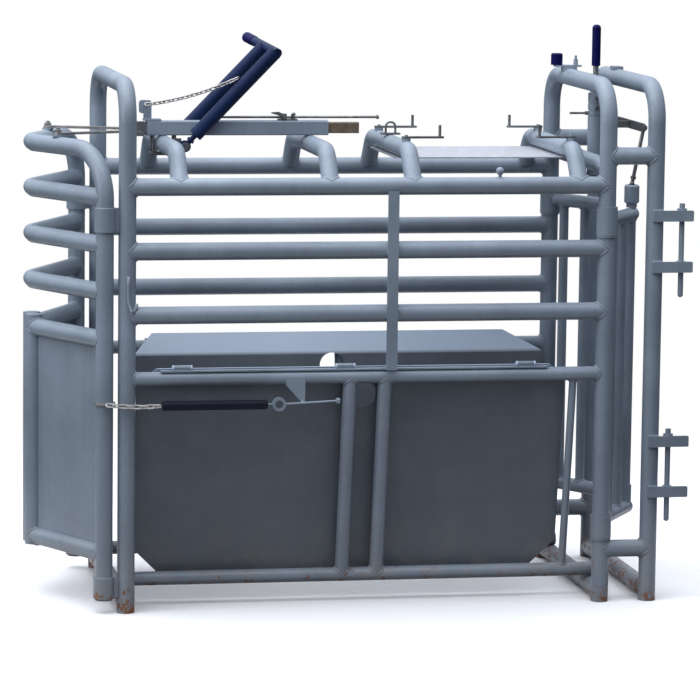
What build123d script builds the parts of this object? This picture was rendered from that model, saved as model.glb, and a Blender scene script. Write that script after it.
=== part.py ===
"""Cattle squeeze chute: welded pipe frame, V tail gate, side squeeze panels and a
two-leaf head gate.

Frame: +X runs from the tail gate to the head gate, +Z is up, the operator stands on
the -Y ("near") side. The ground is Z = 0. All sizes are in millimetres.
"""
from build123d import *
from math import atan2, cos, degrees, hypot, radians, sin
import os

os.makedirs("parts", exist_ok=True)

# ---- pipe and bar stock ---------------------------------------------------------
tube = 60.3          # main pipe, outer diameter
tube_wall = 3.9
small_tube = 48.3    # panel, gate and base pipe
small_wall = 3.2
gate_bar = 33.4      # upright bars of the head gate
gate_wall = 3.0
thin_strut = 26.7
sleeve_outer = 73.0  # hinge sleeves
sheet = 3.0          # gate and squeeze panel sheet
fit_up = 0.2         # gap left for the weld at every coped joint
turn_gap = 0.5       # radial play of a sleeve that turns on a pipe
pin_gap = 0.06       # radial play of a pin in its hole
rest_gap = 0.3       # where a piece that moves lies on its seat
link_spread = 2.2    # a chain link's width, in wires, centre to centre
link_play = 0.4

# ---- frame ----------------------------------------------------------------------
alley_length = 1670.0     # rear hoop to head hoop
hoop_gap = 171.0          # head hoop to front hoop
chute_width = 840.0       # between the centre lines of the near and far legs
hoop_height = 1829.0      # over the top of the hoops
hoop_bend = 120.0         # centre line radius of the hoop corners
rail_heights = (1460.0, 1241.0, 1023.0)
mid_rail_height = 805.0
base_height = 38.0        # centre of the base crossbars
head_crossbar_height = 1523.0
tie_heights = (185.0, 1561.0)
bottom_rail_inset = 120.0
strut_places = (773.0, 895.0)      # along the alley from the rear hoop
thin_strut_place = 1561.0
y_mid = 15.0              # the frame's centre line, clear of the gear hung on the near side

# ---- tail gate ------------------------------------------------------------------
hinge_offset = 76.0       # gate post behind the rear hoop
tail_angle = 27.4         # closed leaf, off square
tail_bar_heights = (1424.0, 1264.0, 1104.0)
tail_top_height = 1582.0
tail_top_bend = 165.0
tail_panel_top = 942.0
tail_panel_bottom = 206.0
tail_post_foot = 45.0
tip_stick_up = 43.0       # outer upright above the panel's top pipe
tip_gap = 3.0             # each leaf stops this far from the centre line
tail_sleeves = ((1309.0, 1390.0), (51.0, 124.0))
arm_lug_back = 150.0      # arm bolt behind the leaf's tip
tail_opening = 46.0       # degrees that a leaf swings out

# ---- overhead gear --------------------------------------------------------------
bow_places = (179.0, 698.0, 987.0, 1571.0)   # along the alley from the rear hoop
bow_top_height = 1574.0
bow_lean = 95.0           # how far a bow's shoulder stands in from the rail
bow_bend = 75.0
stop_specs = ((3, -275.0, 133.0, 118.0), (3, 220.0, 138.0, 122.0),
              (4, -275.0, -125.0, -112.0), (4, 220.0, -116.0, -106.0))
beam_side = 50.8
beam_wall = 3.2
beam_start = 118.0        # along the alley from the rear hoop
beam_length = 641.0
slide_side = 38.1
slide_wall = 3.0
slide_stick_out = 110.0
head_length = 70.0
arm_pivot_half = 60.0     # arm bolts each side of the centre line
arm_thick = 8.0
arm_bolt = 14.0
lever_angle = 46.0        # above the horizontal, at rest
lever_tube = 48.3
lever_length = 455.0
lever_start = 52.0
lever_spread = 102.0
lever_skew_x = -23.0      # the far tube stands back and up from the near one
lever_skew_z = 15.0
lever_pivot_place = 247.0
lever_pin = 16.0
handle_outer = 33.4
handle_overhang = 20.0
handle_length = 215.0
handle_grip_length = 80.0
chain_reach = 300.0       # chain's place along the lever
chain_wire = 5.0
latch_rod_outer = 9.0

# ---- squeeze panels -------------------------------------------------------------
panel_start = {"near": 40.0, "far": 130.0}    # along the alley from the rear hoop
panel_length = 1503.0
panel_bend_inset = 55.0
panel_bend_height = 778.0
panel_top_inset = 14.0
panel_top_height = {"near": 838.0, "far": 855.0}
panel_foot_height = 75.0
panel_clip = 120.0        # cut-off bottom corners
flange_clips = {"near": (75.0, 75.0), "far": (75.0, 155.0)}
panel_hole = 92.0
panel_hole_height = 737.0
panel_hole_place = {"near": 828.0, "far": 852.0}
panel_swing = 12.0
hinge_strip_width = 30.0
hinge_strip_thick = 5.0
hinge_barrel = 16.0
hinge_pin = 8.0
hinge_places = {"near": (190.0, 755.0, 1390.0), "far": (250.0, 755.0, 1390.0)}
strip_margin = 75.0       # hinge strip past its end hinges

# ---- head gate ------------------------------------------------------------------
door_angle = 32.0         # open leaf, off square
door_reach = 283.0
door_bar_spacing = 105.0
door_top_height = 1336.0
door_bottom_height = 290.0
door_sleeves = ((226.0, 304.0), (1287.0, 1385.0))
socket_outer = 53.0
socket_bore = 36.0
collar_outer = 70.0       # stop collars that carry the door sleeves
collar_tall = 7.0
door_swing = 20.0
crosshead_height = 1640.0
crosshead_lead = 185.0    # crosshead ahead of the head hoop
crosshead_half = 190.0
socket_top = 1440.0
ball_height = 1444.0      # ball of each drop rod, open gate
ball_radius = 9.0
lock_outer = 51.0
lock_span = (1460.0, 1752.0)
lever_rod = 20.0
grip_top = 1994.0
rod_pin = 10.0

# ---- near side fittings ---------------------------------------------------------
lug_heights = ((1177.0, 1355.0), (388.0, 566.0))
lug_reach = 129.0
lug_tall = 38.0
lug_thick = 10.0
lug_eye = 34.0
drop_pin = 19.0
pin_places = (93.0, 61.0)     # drop pins ahead of the front hoop
tie_height = 719.0
window_bar_place = 911.0
peg_place = 1288.0

# ---- worked out -----------------------------------------------------------------
sides = {"near": -1, "far": 1}
tail_reach = (chute_width / 2 - tip_gap - tube / 2) / cos(radians(tail_angle))
tail_run = tail_reach * sin(radians(tail_angle))
overall = hinge_offset + tail_run + tube / 2 + alley_length + hoop_gap + lug_reach
rear_x = -overall / 2 + hinge_offset + tail_run + tube / 2
head_x = rear_x + alley_length
front_x = head_x + hoop_gap
post_x = rear_x - hinge_offset
hoop_line = hoop_height - tube / 2
bottom_rail_height = base_height + tube / 2 + small_tube / 2 + fit_up
lean = atan2(bottom_rail_inset, mid_rail_height - bottom_rail_height)
beam_height = bow_top_height + tube / 2 + beam_side / 2 + fit_up
beam_x = rear_x + beam_start


def side_y(side, inset=0.0):
    """Y of a line that lies inset from the leg plane, towards the alley."""
    return y_mid + side * (chute_width / 2 - inset)


def rod(start, end, outer, wall=None, mode=Mode.ADD):
    """Round bar from start to end, or a pipe when it has a wall."""
    run = Vector(*end) - Vector(*start)
    with BuildSketch(Plane(origin=start, z_dir=run)) as section:
        Circle(outer / 2)
        if wall:
            Circle(outer / 2 - wall, mode=Mode.SUBTRACT)
    extrude(section.sketch, amount=run.length, mode=mode)


def cope(start, end, outer):
    """Cut the seat of a crossing pipe, with the fit-up gap."""
    rod(start, end, outer + 2 * fit_up, mode=Mode.SUBTRACT)


def cope_legs(*places, outer=tube):
    """Cut the seats of the upright legs that stand at these X and Y places."""
    for x, y in places:
        cope((x, y, -10), (x, y, hoop_height + 10), outer)


def facing(x, y, z):
    """Upright plane at a point, seen from the operator's side."""
    return Plane(origin=(x, y, z), x_dir=(1, 0, 0), z_dir=(0, -1, 0))


def hex_head(x, y, z, outer, thick):
    """Hexagon nut or bolt head lying flat on z."""
    with BuildSketch(Plane(origin=(x, y, z))) as head:
        RegularPolygon(outer / 2, 6)
    extrude(head.sketch, amount=thick)


def block(centre, size, mode=Mode.ADD):
    """Rectangular bar or plate with its centre and size given."""
    with Locations(centre):
        Box(*size, mode=mode)


def bent_pipe(points, bend, outer, wall=None, mode=Mode.ADD):
    """Pipe bent along points, open at both ends, or a solid bar when it has no wall."""
    with BuildLine(mode=Mode.PRIVATE) as path:
        FilletPolyline(*points, radius=bend)
    route = path.wires()[0]
    with BuildSketch(Plane(origin=route @ 0, z_dir=route % 0), mode=Mode.PRIVATE) as section:
        Circle(outer / 2)
        if wall:
            Circle(outer / 2 - wall, mode=Mode.SUBTRACT)
    sweep(section.sketch, path=route, mode=mode)


def chain_link(centre, along, across, length, wire):
    """One oval link, long side along the chain, flat side facing across."""
    radius = link_spread * wire / 2
    half = (length - wire) / 2 - radius
    with BuildLine(Plane(origin=centre, x_dir=along, z_dir=across), mode=Mode.PRIVATE) as oval:
        Line((-half, radius), (half, radius))
        ThreePointArc((half, radius), (half + radius, 0), (half, -radius))
        Line((half, -radius), (-half, -radius))
        ThreePointArc((-half, -radius), (-half - radius, 0), (-half, radius))
    start = oval.wires()[0]
    with BuildSketch(Plane(origin=start @ 0, z_dir=start % 0), mode=Mode.PRIVATE) as section:
        Circle(wire / 2)
    sweep(section.sketch, path=start)


def chain(start, end, sag, wire, pitch):
    """Chain of links from start to end, hanging in a shallow curve."""
    run = Vector(*end) - Vector(*start)
    count = max(3, round(run.length / pitch))
    ends = []
    for i in range(count + 1):
        t = i / count
        ends.append(Vector(*start) + run * t - Vector(0, 0, 4 * sag * t * (1 - t)))
    for i in range(count):
        along = ends[i + 1] - ends[i]
        level = along.cross(Vector(0, 0, 1)).normalized()
        upright = along.cross(level).normalized()
        across = level + upright * (1 if i % 2 else -1)
        length = along.length + 2 * wire + link_play
        chain_link((ends[i] + ends[i + 1]) / 2, along, across, length, wire)


def save(piece, name):
    """Label a finished piece and write its STEP file."""
    piece.part.label = name
    export_step(piece.part, f"parts/{name}.step")


def leaf_point(side, reach, height):
    """Point on a tail gate leaf, reach from its post along the closed leaf."""
    a = radians(tail_angle)
    return (post_x - reach * sin(a), side_y(side) - side * reach * cos(a), height)


def door_point(side, reach, height):
    """Point on a head gate door, reach from its hinge along the open door."""
    a = radians(door_angle)
    return (head_x + reach * sin(a), side_y(side) - side * reach * cos(a), height)


# ---- hoops ----------------------------------------------------------------------
for name, x in (("rear_hoop", rear_x), ("head_hoop", head_x), ("front_hoop", front_x)):
    with BuildPart() as hoop:
        legs = [(x, side_y(-1), 0), (x, side_y(-1), hoop_line),
                (x, side_y(1), hoop_line), (x, side_y(1), 0)]
        bent_pipe(legs, hoop_bend, tube, tube_wall)
    save(hoop, name)

# ---- crossbars and ties ---------------------------------------------------------
with BuildPart() as head_crossbar:
    rod((head_x, side_y(-1), head_crossbar_height), (head_x, side_y(1), head_crossbar_height),
        tube, tube_wall)
    cope_legs((head_x, side_y(-1)), (head_x, side_y(1)))
    for side in sides.values():
        y = side_y(side)
        cope((head_x, y, tie_heights[1]), (front_x, y, tie_heights[1]), tube)
save(head_crossbar, "head_crossbar")

with BuildPart() as base_crossbars:
    for x in (rear_x, head_x, front_x):
        rod((x, side_y(-1), base_height), (x, side_y(1), base_height), tube, tube_wall)
        cope_legs((x, side_y(-1)), (x, side_y(1)))
save(base_crossbars, "base_crossbars")

with BuildPart() as hoop_ties:
    for side in sides.values():
        for z in tie_heights:
            rod((head_x, side_y(side), z), (front_x, side_y(side), z), tube, tube_wall)
        cope_legs((head_x, side_y(side)), (front_x, side_y(side)))
        for low, _ in door_sleeves:
            top = low - rest_gap
            rod((head_x, side_y(side), top - collar_tall), (head_x, side_y(side), top),
                collar_outer, (collar_outer - tube) / 2 - fit_up)
save(hoop_ties, "hoop_ties")

# ---- side rails -----------------------------------------------------------------
for side_name, side in sides.items():
    y = side_y(side)
    with BuildPart() as side_rails:
        for z in rail_heights:
            rod((rear_x, y, z), (head_x, y, z), tube, tube_wall)
        cope_legs((rear_x, y), (head_x, y))
    save(side_rails, f"{side_name}_side_rails")

with BuildPart() as lower_rails:
    for side in sides.values():
        y = side_y(side)
        rod((rear_x, y, mid_rail_height), (head_x, y, mid_rail_height), small_tube, small_wall)
        cope_legs((rear_x, y), (head_x, y))
        y = side_y(side, bottom_rail_inset)
        rod((rear_x - 12, y, bottom_rail_height), (head_x + 12, y, bottom_rail_height),
            small_tube, small_wall)
save(lower_rails, "lower_rails")

with BuildPart() as side_struts:
    for side in sides.values():
        top_y = side_y(side)
        foot_y = side_y(side, bottom_rail_inset)
        for place, outer in ((strut_places[0], small_tube), (strut_places[1], small_tube),
                             (thin_strut_place, thin_strut)):
            x = rear_x + place
            rod((x, top_y, mid_rail_height), (x, foot_y, bottom_rail_height), outer, 2.9)
        cope((rear_x, top_y, mid_rail_height), (head_x, top_y, mid_rail_height), small_tube)
        cope((rear_x, foot_y, bottom_rail_height), (head_x, foot_y, bottom_rail_height), small_tube)
save(side_struts, "side_struts")

# ---- roof bows and plate --------------------------------------------------------
shoulder = chute_width / 2 - bow_lean
foot = rail_heights[0]
with BuildPart() as roof_bows:
    for place in bow_places:
        x = rear_x + place
        bent_pipe([(x, side_y(-1), foot), (x, y_mid - shoulder, bow_top_height),
                   (x, y_mid + shoulder, bow_top_height), (x, side_y(1), foot)],
                  bow_bend, tube, tube_wall)
        for side in sides.values():
            cope((rear_x, side_y(side), foot), (head_x, side_y(side), foot), tube)
            block((x, side_y(side), foot - tube), (2 * tube, 2 * tube, 2 * tube),
                  mode=Mode.SUBTRACT)
save(roof_bows, "roof_bows")

roof_height = bow_top_height - tube / 2
with BuildPart() as roof_plate:
    first = rear_x + bow_places[2] - tube / 2
    last = rear_x + bow_places[3] + tube / 2
    block(((first + last) / 2, y_mid, roof_height - 2.2), (last - first, 480, 4))
    fillet(roof_plate.edges().filter_by(Axis.Z), radius=20)
save(roof_plate, "roof_plate")

# ---- tail gate hinge sleeves ----------------------------------------------------
with BuildPart() as tail_sleeve_set:
    for side in sides.values():
        y = side_y(side)
        for low, high in tail_sleeves:
            rod((post_x, y, low), (post_x, y, high), sleeve_outer)
            block((rear_x - hinge_offset / 2, y, (low + high) / 2),
                  (hinge_offset, 22, high - low))
        cope_legs((rear_x, y))
        rod((post_x, y, -10), (post_x, y, hoop_height), tube + 2 * turn_gap, mode=Mode.SUBTRACT)
save(tail_sleeve_set, "tail_hinge_sleeves")

# ---- tail gate leaves -----------------------------------------------------------
lug_at = tail_reach - arm_lug_back
lug_top = tail_top_height + tube / 2 + fit_up + 6
arm_low = lug_top + rest_gap
for side_name, side in sides.items():
    post_line = [leaf_point(side, 0, tail_post_foot), leaf_point(side, 0, tail_top_height),
                 leaf_point(side, tail_reach, tail_top_height)]
    with BuildPart() as tail_post:
        bent_pipe(post_line, tail_top_bend, tube, tube_wall)
        with Locations(post_line[-1]):
            Sphere(tube / 2)
        rod(leaf_point(side, lug_at, lug_top - 6), leaf_point(side, lug_at, lug_top), 40)
    save(tail_post, f"{side_name}_tail_post")

    tip_x, tip_y, _ = leaf_point(side, tail_reach, 0)
    tip_low = tail_panel_bottom - tube / 2
    tip_high = tail_panel_top + tip_stick_up
    with BuildPart() as tail_frame:
        for z in tail_bar_heights:
            rod(leaf_point(side, 0, z), leaf_point(side, tail_reach, z), tube, tube_wall)
            with Locations(leaf_point(side, tail_reach, z)):
                Sphere(tube / 2)
        for z in (tail_panel_top, tail_panel_bottom):
            rod(leaf_point(side, 0, z), leaf_point(side, tail_reach, z), tube, tube_wall)
        bent_pipe(post_line, tail_top_bend, tube + 2 * fit_up, mode=Mode.SUBTRACT)
        cope((tip_x, tip_y, tip_low), (tip_x, tip_y, tip_high), tube)
        rod((tip_x, tip_y, tip_low), (tip_x, tip_y, tip_high), tube, tube_wall)
        for z in (tip_low, tip_high - 4):
            rod((tip_x, tip_y, z), (tip_x, tip_y, z + 4), tube)
    save(tail_frame, f"{side_name}_tail_frame")

    edge = tube / 2 + fit_up
    corner = Vector(*leaf_point(side, 0, 0))
    along = Vector(*leaf_point(side, 1, 0)) - corner
    with BuildPart() as tail_sheet:
        with BuildSketch(Plane(origin=corner, x_dir=along, z_dir=along.cross(Vector(0, 0, 1)))):
            with Locations((tail_reach / 2, (tail_panel_bottom + tail_panel_top) / 2)):
                Rectangle(tail_reach - 2 * edge, tail_panel_top - tail_panel_bottom - 2 * edge)
        extrude(amount=sheet / 2, both=True)
    save(tail_sheet, f"{side_name}_tail_sheet")

# ---- overhead beam and slide ----------------------------------------------------
with BuildPart() as slide_beam:
    with BuildSketch(Plane(origin=(beam_x, y_mid, beam_height), z_dir=(1, 0, 0))):
        RectangleRounded(beam_side, beam_side, 5)
        Rectangle(beam_side - 2 * beam_wall, beam_side - 2 * beam_wall, mode=Mode.SUBTRACT)
    extrude(amount=beam_length)
save(slide_beam, "slide_beam")

slide_start = beam_x - 6 - head_length
with BuildPart() as slide_bar:
    with BuildSketch(Plane(origin=(slide_start + head_length, y_mid, beam_height),
                           z_dir=(1, 0, 0))):
        RectangleRounded(slide_side, slide_side, 4)
        Rectangle(slide_side - 2 * slide_wall, slide_side - 2 * slide_wall, mode=Mode.SUBTRACT)
    extrude(amount=6 + beam_length + slide_stick_out)
save(slide_bar, "slide_bar")

arm_pivot_x = slide_start + head_length / 2
with BuildPart() as slide_head:
    block((arm_pivot_x, y_mid, beam_height), (head_length - 2 * fit_up, 50, 44))
    block((arm_pivot_x, y_mid, arm_low - rest_gap - 6), (44, 2 * arm_pivot_half + 40, 12))
    for side in sides.values():
        y = y_mid + side * arm_pivot_half
        rod((arm_pivot_x, y, arm_low - 6), (arm_pivot_x, y, arm_low + arm_thick + 14), arm_bolt)
        hex_head(arm_pivot_x, y, arm_low + arm_thick + 0.5, 24, 9)
save(slide_head, "slide_head")

for side_name, side in sides.items():
    pivot = Vector(arm_pivot_x, y_mid + side * arm_pivot_half, arm_low)
    reach = Vector(*leaf_point(side, lug_at, arm_low)) - pivot
    with BuildPart() as gate_arm:
        with BuildSketch(Plane(origin=pivot, x_dir=reach, z_dir=(0, 0, 1))):
            with Locations((reach.length / 2, 0)):
                SlotCenterToCenter(reach.length, 30)
            Circle(arm_bolt / 2 + pin_gap, mode=Mode.SUBTRACT)
        extrude(amount=arm_thick)
        end = pivot + reach
        hex_head(end.X, end.Y, arm_low + arm_thick, 24, 9)
        rod(end, end + Vector(0, 0, arm_thick + 16), arm_bolt)
    save(gate_arm, f"{side_name}_gate_arm")

# ---- tail gate lever and its bracket --------------------------------------------
beam_top = beam_height + beam_side / 2
bow_1_x = rear_x + bow_places[0]
bow_side = bow_1_x + tube / 2
pivot = Vector(rear_x + lever_pivot_place, y_mid - lever_spread / 2, bow_top_height - 5)
bracket_y = pivot.Y + 21
with BuildPart() as lever_bracket:
    block((bow_side + 14, bracket_y, pivot.Z + 4), (28, 10, 44))
    block(((bow_side + pivot.X) / 2 + 4, bracket_y, pivot.Z), (pivot.X - bow_side + 12, 10, 34))
    rod(pivot + Vector(0, 24, 0), pivot - Vector(0, 16, 0), lever_pin)
    rod(pivot - Vector(0, 12.5, 0), pivot - Vector(0, 22, 0), 30)
    for x in (bow_1_x - tube / 2 - 8, bow_side + 8):
        for y in (y_mid - 14, y_mid + 36):
            rod((x, y, bow_top_height - tube / 2 - 14),
                (x, y, bow_top_height + tube / 2 - fit_up), 10)
    block((bow_1_x, y_mid + 11, bow_top_height - tube / 2 - 4.3), (tube + 34, 76, 8))
    cope((bow_1_x, y_mid - 200, bow_top_height), (bow_1_x, y_mid + 200, bow_top_height), tube)
save(lever_bracket, "lever_bracket")

lever_along = Vector(cos(radians(lever_angle)), 0, sin(radians(lever_angle)))
lever_up = Vector(-sin(radians(lever_angle)), 0, cos(radians(lever_angle)))
far_shift = Vector(lever_skew_x, lever_spread, lever_skew_z)
handle_along = far_shift.normalized()
near_foot = pivot + lever_along * lever_start
near_top = pivot + lever_along * lever_length
handle_start = near_top - handle_along * handle_overhang
with BuildPart() as lever_tubes:
    for foot, top in ((near_foot, near_top), (near_foot + far_shift,
                                              near_top + far_shift)):
        rod(foot, top, lever_tube, small_wall)
        rod(foot, foot + lever_along * 8, lever_tube)
    cope(handle_start, handle_start + handle_along * 300, handle_outer)
    rod(pivot - Vector(0, 12, 0), pivot + Vector(0, 12, 0), 40)
    rod(pivot + lever_along * 15, near_foot, 18)
    rod(pivot + lever_along * 24, pivot + lever_along * 34, 27)
    rod(pivot - Vector(0, 20, 0), pivot + Vector(0, 20, 0), lever_pin + 2 * pin_gap,
        mode=Mode.SUBTRACT)
save(lever_tubes, "lever_tubes")

handle_end = handle_start + handle_along * handle_length
with BuildPart() as lever_handle:
    rod(handle_start, handle_end, handle_outer)
save(lever_handle, "lever_handle")

with BuildPart() as lever_grip:
    rod(handle_end + handle_along * fit_up,
        handle_end + handle_along * handle_grip_length, handle_outer + 4)
    fillet(lever_grip.edges(), radius=5)
save(lever_grip, "lever_grip")

# ---- limit chain from the beam's end to the lever -------------------------------
chain_bolt = Vector(beam_x - 3, pivot.Y + 24, 1713)
plate_y = y_mid + 6
link_half = chain_wire * (1 + link_spread * sin(radians(45))) / 2
with BuildPart() as chain_plate:
    block((beam_x + 20, y_mid, beam_top + 3 + fit_up), (60, 50, 6))
    block((chain_bolt.X + 8, plate_y, (beam_top + chain_bolt.Z) / 2 + 3),
          (28, 8, chain_bolt.Z - beam_top))
    with BuildSketch(facing(chain_bolt.X, plate_y + 4, chain_bolt.Z - 10)):
        RectangleRounded(44, 46, 10)
    extrude(amount=8)
    rod(chain_bolt + Vector(0, plate_y - chain_bolt.Y, 0), chain_bolt, 10)
    with BuildSketch(facing(*(chain_bolt + Vector(0, 5, 0)))):
        RegularPolygon(9, 6)
    extrude(amount=6)
save(chain_plate, "chain_plate")

chain_y = chain_bolt.Y - 1 - rest_gap - link_half
chain_end = pivot + lever_along * chain_reach + lever_up * (lever_tube / 2 + link_half + rest_gap)
with BuildPart() as lever_chain:
    chain((chain_bolt.X - 4, chain_y, chain_bolt.Z), chain_end, 14, chain_wire, 17)
save(lever_chain, "lever_chain")

# ---- latch rod over the beam ----------------------------------------------------
latch_y = y_mid + 8
latch_z = beam_top + 11
hook_x = beam_x + 485
hook_z = beam_top + 14
hook_y = y_mid - 9
eye_x = hook_x + 34
with BuildPart() as latch_rod:
    rod((beam_x + 255, latch_y, latch_z), (beam_x + 818, latch_y, latch_z), latch_rod_outer)
    rod((beam_x + 818, latch_y, latch_z), (beam_x + 826, latch_y, latch_z), 15)
save(latch_rod, "latch_rod")

with BuildPart() as latch_hook:
    with BuildSketch(facing(hook_x, hook_y, hook_z)):
        with BuildLine():
            Polyline((-46, 15), (-20, 17), (4, 7), (-5, -6), (-24, 5), (-46, 11), close=True)
        make_face()
        Circle(8.2)
        Circle(5 + pin_gap, mode=Mode.SUBTRACT)
    extrude(amount=7)
save(latch_hook, "latch_hook")

bow_3_x = rear_x + bow_places[2]
bow_top = bow_top_height + tube / 2
with BuildPart() as latch_brackets:
    block((hook_x + 14, y_mid, beam_top + 2.5 + fit_up), (66, 40, 5))
    block((hook_x, y_mid - 4, beam_top + 13), (20, 8, 22))
    rod((hook_x, y_mid - 4, hook_z), (hook_x, hook_y - 8, hook_z), 10)
    rod((hook_x, hook_y - 8, hook_z), (hook_x, hook_y - 14, hook_z), 17)
    block((eye_x, latch_y, beam_top + 11), (10, 16, 21))
    rod((eye_x, y_mid - 10, beam_top + 4), (eye_x, y_mid - 10, beam_top + 20), 8)
    with Locations((eye_x, y_mid - 10, beam_top + 22)):
        Sphere(7)
    rod((eye_x - 20, latch_y, latch_z), (eye_x + 20, latch_y, latch_z),
        latch_rod_outer + 2 * turn_gap, mode=Mode.SUBTRACT)
    block((bow_3_x, latch_y, bow_top + 3 + fit_up), (66, 34, 6))
    bent_pipe([(bow_3_x - 17, latch_y, bow_top + 3), (bow_3_x - 17, latch_y, bow_top + 44),
               (bow_3_x + 17, latch_y, bow_top + 44), (bow_3_x + 17, latch_y, bow_top + 3)],
              16.5, 8)
save(latch_brackets, "latch_brackets")

# ---- swing stops on the roof bows -----------------------------------------------
pad_top = bow_top + 8
with BuildPart() as stop_pivots:
    for bow, offset_y, _, _ in stop_specs:
        x = rear_x + bow_places[bow - 1]
        y = y_mid + offset_y
        rod((x, y, bow_top - 6), (x, y, pad_top), 30)
        rod((x, y, pad_top), (x, y, pad_top + 12), 12)
        cope((x, y - 60, bow_top_height), (x, y + 60, bow_top_height), tube)
save(stop_pivots, "stop_pivots")

for number, (bow, offset_y, tip_at, pin_at) in enumerate(stop_specs, start=1):
    x = rear_x + bow_places[bow - 1]
    y = y_mid + offset_y
    tail_at = -17 if tip_at > 0 else 17
    with BuildPart() as stop_bar:
        with BuildSketch(Plane.XY.offset(pad_top + rest_gap)):
            with Locations((x + (tail_at + tip_at) / 2, y)):
                SlotOverall(abs(tip_at - tail_at), 24)
            with Locations((x, y)):
                Circle(6 + pin_gap, mode=Mode.SUBTRACT)
        extrude(amount=7)
        rod((x + pin_at, y, pad_top + 1), (x + pin_at, y, pad_top + 46), 10)
    save(stop_bar, f"stop_bar_{number}")

# ---- squeeze panels -------------------------------------------------------------
strip_top = mid_rail_height + small_tube / 2 + fit_up + hinge_strip_thick
axis_inset = -2.0
axis_height = strip_top + hinge_barrel / 2 + 0.9
for side_name, side in sides.items():
    top = panel_top_height[side_name]
    panel_x = rear_x + panel_start[side_name]
    first_clip, last_clip = flange_clips[side_name]
    foot_inset = panel_bend_inset + (panel_bend_height - panel_foot_height) * sin(lean) / cos(lean)
    outline = [(side_y(side, panel_top_inset), top),
               (side_y(side, panel_bend_inset), panel_bend_height),
               (side_y(side, foot_inset), panel_foot_height)]
    flange_slope = (panel_bend_inset - panel_top_inset) / (top - panel_bend_height)
    ear_reach = panel_top_inset - axis_inset + max(0, top - axis_height + 3) * flange_slope
    with BuildPart() as squeeze_panel:
        with BuildSketch(Plane(origin=(panel_x, 0, 0), x_dir=(0, 1, 0), z_dir=(1, 0, 0))):
            with BuildLine():
                Polyline(*outline)
                offset(amount=sheet / 2, side=Side.BOTH)
            make_face()
        extrude(amount=panel_length)
        for x, turn, clip in ((panel_x, 1, first_clip), (panel_x + panel_length, -1, last_clip)):
            with BuildSketch(Plane(origin=(x, side_y(side), 0), x_dir=(1, 0, 0),
                                   z_dir=(0, -1, 0))):
                with BuildLine():
                    Polyline((-turn, -10), (turn * panel_clip, -10),
                             (turn * panel_clip, panel_foot_height),
                             (-turn, panel_foot_height + panel_clip), close=True)
                make_face()
                with BuildLine():
                    Polyline((-turn, top + 10), (turn * clip, top + 10),
                             (-turn, panel_bend_height + 6), close=True)
                make_face()
            extrude(amount=chute_width, both=True, mode=Mode.SUBTRACT)
        hole_x = rear_x + panel_hole_place[side_name]
        rod((hole_x, side_y(side, -40), panel_hole_height),
            (hole_x, side_y(side, 120), panel_hole_height), panel_hole, mode=Mode.SUBTRACT)
        for place in hinge_places[side_name]:
            for ear in (-31, 31):
                x = rear_x + place + ear
                y = side_y(side, axis_inset)
                rod((x - 3, y, axis_height), (x + 3, y, axis_height), hinge_barrel)
                block((x, side_y(side, axis_inset + ear_reach / 2), axis_height - 3),
                      (6, ear_reach, 6))
            x = rear_x + place
            rod((x - 34, y, axis_height), (x + 34, y, axis_height), hinge_pin)
    save(squeeze_panel, f"{side_name}_squeeze_panel")

with BuildPart() as hinge_strips:
    for side_name, side in sides.items():
        places = hinge_places[side_name]
        start = rear_x + places[0] - strip_margin
        length = places[-1] - places[0] + 2 * strip_margin
        block((start + length / 2, side_y(side, 10 - hinge_strip_width / 2),
               strip_top - hinge_strip_thick / 2), (length, hinge_strip_width, hinge_strip_thick))
        for place in places:
            x = rear_x + place
            y = side_y(side, axis_inset)
            rod((x - 27, y, axis_height), (x + 27, y, axis_height), hinge_barrel)
            block((x, y, strip_top + 4), (54, 12, 8))
            rod((x - 40, y, axis_height), (x + 40, y, axis_height), hinge_pin + 2 * pin_gap,
                mode=Mode.SUBTRACT)
save(hinge_strips, "panel_hinge_strips")

# ---- head gate doors ------------------------------------------------------------
bar_places = [door_reach - i * door_bar_spacing for i in range(3)]
for side_name, side in sides.items():
    hinge = (head_x, side_y(side))
    with BuildPart() as door_frame:
        for place in bar_places:
            x, y, _ = door_point(side, place, 0)
            rod((x, y, door_bottom_height), (x, y, door_top_height), gate_bar, gate_wall)
        for z in (door_bottom_height, door_top_height):
            cope(door_point(side, -20, z), door_point(side, door_reach + 40, z), small_tube)
        for z in (door_bottom_height, door_top_height):
            rod(door_point(side, 0, z), door_point(side, door_reach + 16, z),
                small_tube, small_wall)
        cope((*hinge, 0), (*hinge, hoop_height), sleeve_outer)
        for low, high in door_sleeves:
            rod((*hinge, low), (*hinge, high), sleeve_outer, (sleeve_outer - tube) / 2 - turn_gap)
        tip_x, tip_y, _ = door_point(side, door_reach, 0)
        foot = door_top_height + small_tube / 2 + fit_up
        shoulder = foot + 14
        rod((tip_x, tip_y, foot), (tip_x, tip_y, shoulder + 2), 38)
        rod((tip_x, tip_y, shoulder), (tip_x, tip_y, socket_top), socket_outer)
        chamfer(door_frame.edges().filter_by(GeomType.CIRCLE).filter_by(
            lambda edge: abs(edge.radius - socket_outer / 2) < 0.01), length=5)
        rod((tip_x, tip_y, socket_top - 20), (tip_x, tip_y, socket_top + 1), socket_bore,
            mode=Mode.SUBTRACT)
        collar = door_bottom_height + small_tube / 2 + fit_up
        rod((tip_x, tip_y, collar), (tip_x, tip_y, collar + 55), 42, (42 - gate_bar) / 2 - fit_up)
    save(door_frame, f"{side_name}_head_door")


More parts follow.
